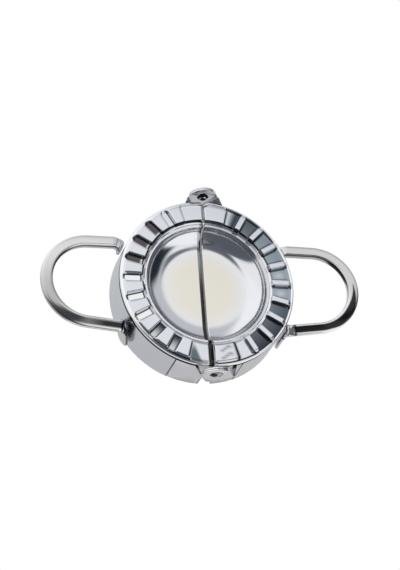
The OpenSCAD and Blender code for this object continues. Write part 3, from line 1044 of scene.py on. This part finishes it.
# How the arms spread, and how the loop rises outwards
SPLAY, TILT = math.radians(4), math.radians(7)
LEVEL = Vector((-math.sin(TILT), 0, math.cos(TILT)))
BACK, FRONT = 1, -1
# The feet: angle round the skirt, lowest point, thickness, lean, the front feet's gap to the
# skirt, and the radius of their middle
FOOT_TURN = {BACK: math.radians(28.0), FRONT: math.radians(26.5)}
FOOT_LOW = {BACK: 4.0, FRONT: 1.1}
FOOT_T = {BACK: 2.0, FRONT: 1.6}
FOOT_LEAN = {BACK: math.radians(15), FRONT: math.radians(19)}
FOOT_GAP = 0.4
FOOT_MID_R = SKIRT_R + FOOT_GAP + FOOT_T[FRONT] / 2
# Where the arms end before the bend, how far below them its corner lies, how far the bend
# falls, and how much narrower the back feet are
ARM_END = {BACK: 1.6, FRONT: -1.0}
BEND_LOW = 0.4
BEND_DROP = 5.4
BACK_ROUND = 2.0
# Stations along the bow, an arm, a bend, a foot and the foot's rounded tip
BOW_STEPS, ARM_STEPS, BEND_STEPS, FOOT_STEPS, TIP_STEPS = 48, 16, 16, 4, 9


def bar_point(u, v):
    """A point of the bar's middle plane, from the rim out and along the seam's direction."""
    return Vector((RIM_R + u * math.cos(TILT), v, RIM_H - BAR_DROP + u * math.sin(TILT)))


def bar_station(u, v, turn, along):
    """A station of the plain bar: turn goes round the bow from its back to its front."""
    out = math.cos(turn)
    return dict(mid=bar_point(u, v), turn=turn, along=along,
                across=Vector((out * math.cos(TILT), math.sin(turn), out * math.sin(TILT))),
                up=LEVEL, wide=sizes().bar_w / MM / 2, thick=sizes().bar_t / MM / 2)


def arm_stations(end):
    """Stations of one arm from the bow on, round its bend and down its foot. Along counts
    1 at the end of the arm, 2 at the end of the bend and 3 at the tip of the foot."""
    bar_w, bar_t, foot_w = (v / MM for v in (sizes().bar_w, sizes().bar_t, sizes().foot_w))
    turn = (math.pi / 2 - SPLAY) * end
    start_u, start_v = BOW_C + BOW_R * math.cos(turn), BOW_R * abs(math.sin(turn))
    out = []
    for i in range(1, ARM_STEPS + 1):
        u = blend(start_u, ARM_END[end], i / ARM_STEPS)
        v = start_v + (start_u - u) * math.tan(SPLAY)
        out.append(bar_station(u, end * v, turn, i / ARM_STEPS))
    plain = out[-1]
    c, s = math.cos(FOOT_TURN[end]), math.sin(FOOT_TURN[end])
    outwards = Vector((c, end * s, 0))
    away = Vector((-s * end, c, 0)) * end
    lean = FOOT_LEAN[end]
    down = away * math.sin(lean) - Vector((0, 0, math.cos(lean)))
    tangent = away * math.cos(lean) + Vector((0, 0, math.sin(lean)))
    first = plain["mid"]
    corner = outwards * FOOT_MID_R + Vector((0, 0, first.z - BEND_LOW))
    if end == BACK:
        # The back feet are narrower, and their bend lies half of that further in
        foot_w -= BACK_ROUND
        corner -= tangent * BACK_ROUND / 2
    last = corner + down * BEND_DROP
    for i in range(1, BEND_STEPS + 1):
        t = i / BEND_STEPS
        way = ((corner - first) * (1 - t) + (last - corner) * t).normalized()
        across = plain["across"].lerp(tangent, ease(t)).normalized()
        up = way.cross(across)
        if up.dot(LEVEL if t < 0.5 else outwards) < 0:
            up = -up
        out.append(dict(
            plain, mid=first * (1 - t) ** 2 + corner * 2 * t * (1 - t) + last * t * t,
            across=across, up=up.normalized(), wide=blend(bar_w, foot_w, ease(t * 1.1)) / 2,
            thick=blend(bar_t, FOOT_T[end], ease(t * 1.15)) / 2, along=1 + t))
    fall = (corner.z - FOOT_LOW[end] - foot_w / 2) / math.cos(lean)
    foot = dict(plain, across=tangent, up=outwards, wide=foot_w / 2, thick=FOOT_T[end] / 2)
    for i in range(1, FOOT_STEPS + 1):
        out.append(dict(foot, mid=corner + down * blend(BEND_DROP, fall, i / FOOT_STEPS),
                        along=2 + i / 10))
    for i in range(1, TIP_STEPS + 1):
        a = math.radians(89 * i / TIP_STEPS)
        out.append(dict(foot, mid=corner + down * (fall + foot_w / 2 * math.sin(a)),
                        wide=foot_w / 2 * math.cos(a), along=2.4 + i / 15,
                        thick=FOOT_T[end] / 2 * min(1, 0.35 + math.cos(a))))
    return out


def handle_stations():
    """Stations along the bar from the back foot round the bow to the front foot."""
    bow = []
    for i in range(BOW_STEPS + 1):
        turn = (math.pi / 2 - SPLAY) * (1 - 2 * i / BOW_STEPS)
        bow.append(bar_station(BOW_C + BOW_R * math.cos(turn), BOW_R * math.sin(turn), turn, 0.0))
    out = arm_stations(BACK)[::-1] + bow + arm_stations(FRONT)
    for station in out:
        # Towards the front arm the top turns outwards, and back again before the foot
        roll = sizes().front_lean * ease((-station["turn"] - 0.1) / 1.4)
        roll *= 1 - ease(station["along"] - 1)
        across, up = station["across"], station["up"]
        station["across"] = across * math.cos(roll) - up * math.sin(roll)
        station["up"] = up * math.cos(roll) + across * math.sin(roll)
    return out


# Tones of the bars: painted reflections on a satin top, and painted dark reflections in bands where
# the front arms turn to the table
BAR_WHITE, BAR_PALE, BAR_GREY = linear("#f2f2f2"), linear("#dcdcdc"), linear("#c4c4c4")
BAR_DARK = linear("#37373b")


def bar_tone(side, station, across, up):
    """Painted reflections and painted shade at one point of the bar's section: across is -1 inside
    the loop and 1 outside it, up is 1 on the top. Turn is 86 degrees at the back arm, 0 at the tip,
    -86 at the front."""
    turn, along = math.degrees(station["turn"]), station["along"]
    front = turn < 0
    # Painted dark rims round the feet
    if along > 1.9:
        edge = -across if side == RIGHT and front else abs(across)
        rim = max(ease((edge - 0.9) / 0.08), ease((along - 2.9) / 0.1))
        return mixed(BAR_WHITE, BAR_DARK, 0.8 * rim if front else 0.4 * rim)
    if side == RIGHT and front and along > 0.86:
        # A painted bright block, a painted highlight, between two fine painted dark lines, where the
        # bar is bent
        lines = between(along, 0.5, 0.94, 0.06) + between(along, 1.75, 1.9, 0.1)
        return mixed(CLEAR, PAINTED_DARK, lines)
    # Painted dark reflection on the left front bend, with a lighter band
    if side == LEFT and front and along > 1.0:
        return mixed(BAR_DARK, CLEAR, between(along, 1.2, 1.4, 0.1))
    # Painted reflections: the top greyer or paler round the bow, and a dark band across it
    if side == LEFT:
        tone = mixed(BAR_WHITE, BAR_GREY, ease((40 - turn) / 70) * ease((turn + 75) / 40))
        grow = ease((-12 - turn) / 60)
        band = between(across, blend(1.1, -0.55, grow),
                       blend(1.4, 0.45, ease((-45 - turn) / 35)), 0.3)
    else:
        tone = mixed(BAR_PALE, BAR_WHITE, ease(-turn / 40))
        grow = ease((14 - turn) / 52)
        outer = blend(0.1, 0.8, grow) - 0.3 * ease((-turn - 52) / 25)
        band = between(across, blend(0.05, -0.6, grow), outer, 0.14)
    if up > 0:
        depth = 1.0 if side == RIGHT else 0.42 + 0.38 * ease((-turn - 30) / 55) + 0.4 * along
        tone = mixed(tone, BAR_DARK, band * ease(grow * 8) * min(1.0, depth))
    if across < -0.8 and turn > -10:
        # Fine painted dark lines, painted shade, along the inside of the back arm and the bow
        strong = between(turn, 12, 58, 16)
        inner = blend(0.45, -0.5, strong) if side == RIGHT else blend(0.35, 0.1, strong)
        line = max(between(up, inner, 0.88, 0.12), between(up, -0.95, -0.6, 0.15))
        tone = mixed(tone, PAINTED_DARK, line * blend(0.7, 1.0, strong) * ease((turn + 10) / 20))
    if across > 0.95 and up < 0.6:
        # A fine painted dark line along the outer edge
        tone = mixed(tone, BAR_DARK, 0.5 * between(up, -0.2, 0.5, 0.2))
    return tone


def bar_section(crown):
    """Points round the bar's section from -1 to 1, close on its flats and at its corners."""
    flats = (0.9, 0.8, 0.68, 0.56, 0.42, 0.28, 0.14, 0.0)
    flats = flats[:-1] + tuple(-f for f in flats[::-1])
    rises = (0.65, 0.4, 0.15, -0.15, -0.4, -0.65)

    def other(value):
        return (1 - abs(value) ** crown) ** (1 / crown)

    top = [(f, other(f)) for f in flats]
    inner = [(-other(r), r) for r in rises]
    return top + inner + [(-f, -u) for f, u in top] + [(-c, -r) for c, r in inner]


def handle(side):
    """One loop handle: a bar swept from its back foot round the bow to its front foot."""
    section = bar_section(sizes().bar_crown)
    sections, tones = [], []
    for station in handle_stations():
        sections.append([
            tuple(station["mid"] + station["across"] * (station["wide"] * across)
                  + station["up"] * (station["thick"] * up)) for across, up in section])
        tones += [bar_tone(side, station, across, up) for across, up in section]
    points, faces = swept(sections)
    shape = mesh_object(f"{SIDE[side]}_loop_handle", points, faces, tones=tones, flip=side == LEFT)
    outward(shape)
    return dress(shape, material("Polished stainless bar"), side, "handle_steel",
                 f"{SIDE[side]}_handle")


# The hinges

# Where the rivets' heads sit, radius and height of the flat outer head and of the domed inner
# one, radius of the shank, and width of the ears' broken edges
OUTER_FACE, INNER_FACE = 50.4, 48.6
HEAD_R, HEAD_H = 3.2, 1.0
DOME_R, DOME_H = 2.6, 1.9
SHANK_R = 1.5
BROKEN_EDGE = 0.16


def ear(node, side):
    """A rounded copy of one CAD ear: punched sheet with its edges broken."""
    shape = placed(node.replace("_ear", "_hinge_ear"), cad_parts[node].data.copy())
    with edited(shape.data) as work:
        bmesh.ops.remove_doubles(work, verts=work.verts, dist=1e-6)
        bmesh.ops.dissolve_limit(work, angle_limit=math.radians(1), verts=work.verts,
                                 edges=work.edges)
    layers = shape.data.attributes
    for name in [a.name for a in layers if a.name.startswith(("custom", "sharp"))]:
        layers.remove(layers[name])
    bevel = shape.modifiers.new("Broken edges", "BEVEL")
    bevel.width, bevel.segments, bevel.limit_method = BROKEN_EDGE * MM, 2, "ANGLE"
    bevel.angle_limit = math.radians(35)
    shape.data = plain_mesh(shape)
    crease(shape, 32)
    return dress(shape, material("Polished stainless ear"), side, "hinge_steel", node)


def head_line(radius, height):
    """Profile of a rivet's head, which is part of a ball."""
    ball = (radius ** 2 + height ** 2) / (2 * height)
    foot = math.degrees(math.asin((ball - height) / ball))
    return [(0.0, -0.02), (radius, -0.02), *arc((0, height - ball), ball, foot + 1, 89.9, 12),
            (0.0, height)]


def lathe(name, profile, around=40):
    """A helper object: a profile (radius, reach) turned round the Y axis."""
    points, faces = [], []
    count = len(profile)
    for k in range(around):
        a = 2 * math.pi * k / around
        points += [(r * math.cos(a), y, r * math.sin(a)) for r, y in profile]
        m = (k + 1) % around
        for j in range(count - 1):
            faces.append((k * count + j, k * count + j + 1, m * count + j + 1, m * count + j))
    thing = mesh_object(name, points, faces)
    with edited(thing.data) as work:
        bmesh.ops.holes_fill(work, edges=work.edges, sides=0)
        bmesh.ops.recalc_face_normals(work, faces=work.faces)
    return thing


def rivet(node, sign):
    """The rivet of the front (-1) or the back hinge (1), which is fixed in the left ear."""
    shank = [(0.0, 0.0), (SHANK_R, 0.0), (SHANK_R, OUTER_FACE - INNER_FACE),
             (0.0, OUTER_FACE - INNER_FACE)]
    helpers = {"Outer head": lathe("outer head", head_line(HEAD_R, HEAD_H)),
               "Inner head": lathe("inner head", head_line(DOME_R, DOME_H)),
               "Shank": lathe("shank", shank, 24)}
    seed = mesh_object(node + "_head", [(0, 0, 0), (0.1, 0, 0), (0, 0.1, 0)], [(0, 1, 2)])
    finish = material("Tumbled stainless rivet")
    shape = grown(seed, rivet_tree(), {
        **helpers, "Steel": finish, "Outer": OUTER_FACE * MM, "Inner": INNER_FACE * MM,
        "Height": RIM_H * MM})
    for helper in helpers.values():
        bpy.data.objects.remove(helper)
    if sign < 0:
        shape.data.transform(Matrix.Scale(-1, 4, Vector((0, 1, 0))))
        shape.data.flip_normals()
    crease(shape, 40)
    return dress(shape, finish, LEFT, "rivet_steel", node)


# Stage

# The camera that fits the photograph: its lens and film in millimetres, its place in
# millimetres, and the directions it looks in and has on its right
LENS, FILM = 49.64, 36.0
CAMERA_AT = Vector((-104.9, -162.8, 375.1))
CAMERA_LOOK = Vector((0.2512, 0.4020, -0.8805))
CAMERA_RIGHT = Vector((0.9671, -0.0665, 0.2455))


def stage_camera():
    """The camera at the photograph's viewing angle."""
    data = bpy.data.cameras.new("Photo camera")
    data.lens, data.sensor_width = LENS, FILM
    data.clip_start, data.clip_end = 0.01, 20.0
    camera = placed("Photo camera", data)
    look = CAMERA_LOOK.normalized()
    right = (CAMERA_RIGHT - look * CAMERA_RIGHT.dot(look)).normalized()
    turn = Matrix((right, right.cross(look), -look)).transposed().to_4x4()
    camera.matrix_world = Matrix.Translation(CAMERA_AT * MM) @ turn
    bpy.context.scene.camera = camera


# Soft boxes and dark flags that the steel mirrors: azimuth of the middle, half width,
# lowest and highest elevation and softness in degrees, the sRGB colour, and its strength
CARDS = (
    ("light from the back", 118, 34, -30, 70, 12, "#ffffff", 1.2),
    ("pale wall at the back right", 58, 30, -30, 54, 8, "#dadade", 1.0),
    ("grey foot of that wall", 52, 28, -30, 17, 7, "#8e8e96", 1.0),
    ("dark flag at the front left", 243, 48, -30, 95, 4, "#62676d", 1.0),
    ("dark flag at the right", 4, 23, -30, 49, 7, "#262c36", 1.0),
    ("grey upper part of that flag", 22, 14, 52, 73, 6, "#6d7680", 1.0),
    ("white box at the front right", 326, 14, -30, 69, 4, "#ffffff", 1.2),
    ("lower part of that box", 306, 14, -30, 50, 4, "#ffffff", 1.2),
)
# The colour and strength of the room, and the dark ceiling over the camera
ROOM, ROOM_STRENGTH = "#efeeec", 1.3
CEILING = "#666b72"


def world_light():
    """A pale room with a dark ceiling over the camera, and soft boxes and flags round it."""
    world = bpy.data.worlds.new("Studio")
    bpy.context.scene.world = world
    tree = empty_tree(world)
    way = add(tree, "ShaderNodeTexCoord").outputs["Generated"]
    x, y, z = add(tree, "ShaderNodeSeparateXYZ", (way,)).outputs
    height = add(tree, "ShaderNodeMath", (z,), operation="ARCSINE")
    ceiling = mask(tree, (z, 0.945, 0.97), (y, 0.30, 0.17), (x, 0.5, 0.36), (x, -0.12, -0.02),
                   kind="SMOOTHSTEP")
    covers = [(ceiling, linear(CEILING))]
    for name, middle, half, low, high, soft, hex_code, strength in CARDS:
        c, s = math.cos(math.radians(middle)), math.sin(math.radians(middle))
        ahead = add(tree, "ShaderNodeVectorMath", (way, (c, s, 0)), operation="DOT_PRODUCT",
                    label=name).outputs["Value"]
        aside = add(tree, "ShaderNodeVectorMath", (way, (-s, c, 0)),
                    operation="DOT_PRODUCT").outputs["Value"]
        turn = add(tree, "ShaderNodeMath", (aside, ahead), operation="ARCTAN2")
        turn = add(tree, "ShaderNodeMath", (turn,), operation="ABSOLUTE")
        limits = ((turn, half + soft, half - soft), (height, low - soft, low + soft),
                  (height, high + soft, high - soft))
        card = mask(tree, *[(value, math.radians(none), math.radians(full))
                            for value, none, full in limits], kind="SMOOTHSTEP")
        covers.append((card, [part * strength for part in linear(hex_code)]))
    # The steel mirrors all this, and the camera itself sees plain white
    straight = add(tree, "ShaderNodeLightPath").outputs["Is Camera Ray"]
    covers.append((straight, (1, 1, 1)))
    room = [part * ROOM_STRENGTH for part in linear(ROOM)]
    paint = painted(tree, (*room, 1), covers)
    back = add(tree, "ShaderNodeBackground", {"Color": paint})
    add(tree, "ShaderNodeOutputWorld", (back,))


# The table in metres, and how its light grows with the distance from the press as the steel
# mirrors it, and with the open sky over it as the camera sees it
TABLE_HALF = 3.0
MIRRORED = {"From Min": 0.062, "From Max": 0.09, "To Min": 0.62, "To Max": 1.1}
OPEN_SKY = 0.12
SEEN = {"From Min": 0.05, "From Max": 0.2, "To Min": 0.08, "To Max": 1.0}


def table():
    """The plain white table: it glows, and its glow is painted darker near and under the press."""
    mesh = bpy.data.meshes.new("Table")
    corners = ((-1, -1), (1, -1), (1, 1), (-1, 1))
    mesh.from_pydata([(x * TABLE_HALF, y * TABLE_HALF, 0) for x, y in corners], [],
                     [(0, 1, 2, 3)])
    floor = placed("Table", mesh)
    made = bpy.data.materials.new("Matt white table")
    tree = empty_tree(made)
    place = add(tree, "ShaderNodeTexCoord").outputs["Object"]
    far = add(tree, "ShaderNodeVectorMath", (place,), operation="LENGTH").outputs["Value"]
    mirrored = add(tree, "ShaderNodeMapRange", {"Value": far, **MIRRORED})
    # Plain white where it lies open, dark where the press closes it in
    sky = add(tree, "ShaderNodeAmbientOcclusion", {"Distance": OPEN_SKY}, samples=8)
    seen = add(tree, "ShaderNodeMapRange", {"Value": sky.outputs["AO"], **SEEN})
    straight = add(tree, "ShaderNodeLightPath").outputs["Is Camera Ray"]
    light = add(tree, "ShaderNodeMix", {"Factor": straight, "A": mirrored, "B": seen})
    glow = add(tree, "ShaderNodeEmission",
               {"Color": (*tuple(colours().floor), 1), "Strength": light})
    add(tree, "ShaderNodeOutputMaterial", (glow,))
    mesh.materials.append(made)


# Add-on

def both_sides(build):
    """Builds a piece for the left and for the right half."""
    for side in (LEFT, RIGHT):
        build(side)
    return {"FINISHED"}


class PRESS_OT_rings(bpy.types.Operator):
    """Build the two crimp rings with their teeth, grooves and lips"""
    bl_idname = "press.rings"
    bl_label = "Crimp rings"

    def execute(self, context):
        return both_sides(crimp_ring)


class PRESS_OT_bowls(bpy.types.Operator):
    """Build the two half bowls with their turned-down seam edges"""
    bl_idname = "press.bowls"
    bl_label = "Half bowls"

    def execute(self, context):
        return both_sides(half_bowl)


class PRESS_OT_skirts(bpy.types.Operator):
    """Build the two flared skirts with their cutting edges"""
    bl_idname = "press.skirts"
    bl_label = "Skirts"

    def execute(self, context):
        return both_sides(skirt)


class PRESS_OT_handles(bpy.types.Operator):
    """Build the two loop handles with their flattened feet"""
    bl_idname = "press.handles"
    bl_label = "Handles"

    def execute(self, context):
        return both_sides(handle)


class PRESS_OT_hinges(bpy.types.Operator):
    """Build the four hinge ears and the two rivets"""
    bl_idname = "press.hinges"
    bl_label = "Hinges"

    def execute(self, context):
        for side in (LEFT, RIGHT):
            for end in ("front", "back"):
                ear(f"{SIDE[side]}_{end}_ear", side)
        rivet("front_rivet", -1)
        rivet("back_rivet", 1)
        return {"FINISHED"}


class PRESS_OT_stage(bpy.types.Operator):
    """Set the table, the studio light and the camera"""
    bl_idname = "press.stage"
    bl_label = "Stage"

    def execute(self, context):
        context.scene.view_settings.view_transform = "Standard"
        table()
        world_light()
        stage_camera()
        return {"FINISHED"}


STEPS = (PRESS_OT_rings, PRESS_OT_bowls, PRESS_OT_skirts, PRESS_OT_handles, PRESS_OT_hinges,
         PRESS_OT_stage)


class PRESS_PT_panel(bpy.types.Panel):
    """The steps that build the press"""
    bl_idname = "PRESS_PT_panel"
    bl_label = "Dough press"
    bl_space_type = "VIEW_3D"
    bl_region_type = "UI"
    bl_category = "Dough press"

    def draw(self, context):
        column = self.layout.column()
        for group in (context.scene.press_sizes, context.scene.press_colours):
            for name in group.bl_rna.properties.keys():
                if name not in ("rna_type", "name"):
                    column.prop(group, name)
        for step in STEPS:
            column.operator(step.bl_idname)


CLASSES = (PressSizes, PressColours, *STEPS, PRESS_PT_panel)


def register():
    for item in CLASSES:
        bpy.utils.register_class(item)
    bpy.types.Scene.press_sizes = bpy.props.PointerProperty(type=PressSizes)
    bpy.types.Scene.press_colours = bpy.props.PointerProperty(type=PressColours)


def unregister():
    del bpy.types.Scene.press_colours
    del bpy.types.Scene.press_sizes
    for item in reversed(CLASSES):
        bpy.utils.unregister_class(item)


def main():
    register()
    bpy.ops.press.rings()
    bpy.ops.press.bowls()
    bpy.ops.press.skirts()
    bpy.ops.press.handles()
    bpy.ops.press.hinges()
    bpy.ops.press.stage()
    bpy.context.view_layer.update()


if __name__ == "__main__":
    main()
